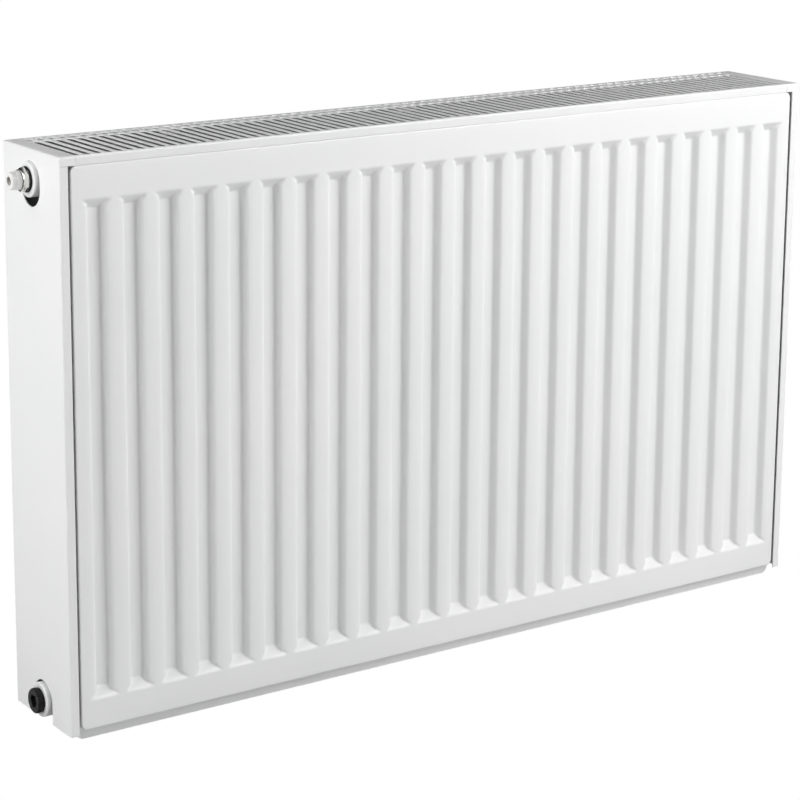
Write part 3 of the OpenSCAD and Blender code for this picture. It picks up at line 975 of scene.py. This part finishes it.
for node, material, edge in (
    ("grille_clips", CLIP_PLASTIC, CLIP_EDGE),
    ("spout_seal", RUBBER, 0),
    ("bleed_tip", BRASS, 0),
):
    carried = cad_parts[node]
    for place in carried.material_slots:
        place.material = material
    if edge:
        weld = carried.modifiers.new("Joined faces", "WELD")
        weld.merge_threshold = WELD_GAP * MM
        round_edges(carried, edge)

# ------------------------------------------------------------- floor and light

FLOOR_HALF = 12
LIGHT_TARGET = Vector((0.01, 0, 0.25))
FAR, FAR_SIZE = 2.6, 1.4


def stage_floor(name, albedo, glow, seen):
    """A floor that only the camera sees, or one that only passes light on to the object."""
    mesh = bpy.data.meshes.new(name)
    corners = [(x * FLOOR_HALF, y * FLOOR_HALF, 0) for x, y in ((-1, -1), (1, -1), (1, 1), (-1, 1))]
    mesh.from_pydata(corners, [], [(0, 1, 2, 3)])
    floor = bpy.data.objects.new(name, mesh)
    bpy.context.scene.collection.objects.link(floor)
    material, _, _, shader = new_material(name)
    shader.inputs["Base Color"].default_value = (albedo, albedo, albedo, 1)
    shader.inputs["Roughness"].default_value = 0.9
    shader.inputs["Specular IOR Level"].default_value = 0
    shader.inputs["Emission Color"].default_value = (1, 1, 1, 1)
    shader.inputs["Emission Strength"].default_value = glow
    mesh.materials.append(material)
    floor.visible_camera = seen
    floor.visible_diffuse = not seen
    floor.visible_glossy = not seen
    floor.visible_transmission = not seen
    floor.visible_shadow = not seen


def surroundings():
    """A world that gives no light, while the camera sees plain white behind the object."""
    world = bpy.data.worlds.new("studio")
    world.use_nodes = True
    nodes, links = world.node_tree.nodes, world.node_tree.links
    dark = nodes["Background"]
    dark.inputs["Strength"].default_value = 0
    seen = nodes.new("ShaderNodeBackground")
    seen.inputs["Color"].default_value = (1, 1, 1, 1)
    seen.inputs["Strength"].default_value = 1
    rays = nodes.new("ShaderNodeLightPath")
    mix = nodes.new("ShaderNodeMixShader")
    links.new(rays.outputs["Is Camera Ray"], mix.inputs["Fac"])
    links.new(dark.outputs["Background"], mix.inputs[1])
    links.new(seen.outputs["Background"], mix.inputs[2])
    links.new(mix.outputs["Shader"], nodes["World Output"].inputs["Surface"])
    bpy.context.scene.world = world


def studio_light(name, azimuth, elevation, distance, size, power):
    """A soft box that faces the object. Azimuth 0 degrees is in front and 90 at the left end."""
    a, e = math.radians(azimuth), math.radians(elevation)
    direction = Vector((-math.sin(a) * math.cos(e), -math.cos(a) * math.cos(e), math.sin(e)))
    data = bpy.data.lights.new(name, "AREA")
    data.shape = "RECTANGLE"
    data.size, data.size_y = size, size
    data.energy = power
    light = bpy.data.objects.new(name, data)
    light.location = LIGHT_TARGET + direction * distance
    light.rotation_euler = (LIGHT_TARGET - light.location).to_track_quat("-Z", "Y").to_euler()
    bpy.context.scene.collection.objects.link(light)


stage_floor("floor_seen", 0.1, 1, True)
stage_floor("floor_lit", 0.55, 0, False)
surroundings()
studio_light("front_light", -10, 10, FAR, FAR_SIZE, 14.9)
studio_light("near_front_light", -20, 40, 1.4, 0.8, 7.9)
studio_light("near_right_light", -50, 25, 1.5, 0.9, 6.7)
studio_light("right_light", -85, 20, FAR, FAR_SIZE, 8.1)
studio_light("near_left_light", 90, 15, 1.2, 0.8, 6.3)
studio_light("left_high_light", 95, 50, FAR, FAR_SIZE, 13.7)
studio_light("top_light", 0, 89, FAR, FAR_SIZE, 4.6)
studio_light("rear_light", 180, 5, FAR, FAR_SIZE, 20)

# ---------------------------------------------------------------------- camera

YAW, PITCH_DOWN, ROLL = math.radians(34.648), math.radians(12.575), math.radians(0.437)
FOCAL_LENGTH, SENSOR_WIDTH = 113.535, 36
SHIFT_Y = -0.15
CLIP_START, CLIP_END = 0.05, 60
CAMERA_OFFSET = Vector((-1.3008, -1.8333, 0.8437))
camera_data = bpy.data.cameras.new("camera")
camera_data.sensor_width = SENSOR_WIDTH
camera_data.lens = FOCAL_LENGTH
camera_data.shift_y = SHIFT_Y
camera_data.clip_start, camera_data.clip_end = CLIP_START, CLIP_END
camera = bpy.data.objects.new("camera", camera_data)
bpy.context.scene.collection.objects.link(camera)
bpy.context.scene.camera = camera
level = math.cos(PITCH_DOWN)
forward = Vector((math.sin(YAW) * level, math.cos(YAW) * level, -math.sin(PITCH_DOWN)))
level_right = Vector((math.cos(YAW), -math.sin(YAW), 0))
level_up = level_right.cross(forward)
right = level_right * math.cos(ROLL) + level_up * math.sin(ROLL)
up = level_up * math.cos(ROLL) - level_right * math.sin(ROLL)
turn = Matrix((right, up, -forward)).transposed()
camera.matrix_world = Matrix.Translation(CASING_MIDDLE + CAMERA_OFFSET) @ turn.to_4x4()

bpy.context.scene.view_settings.view_transform = "Standard"
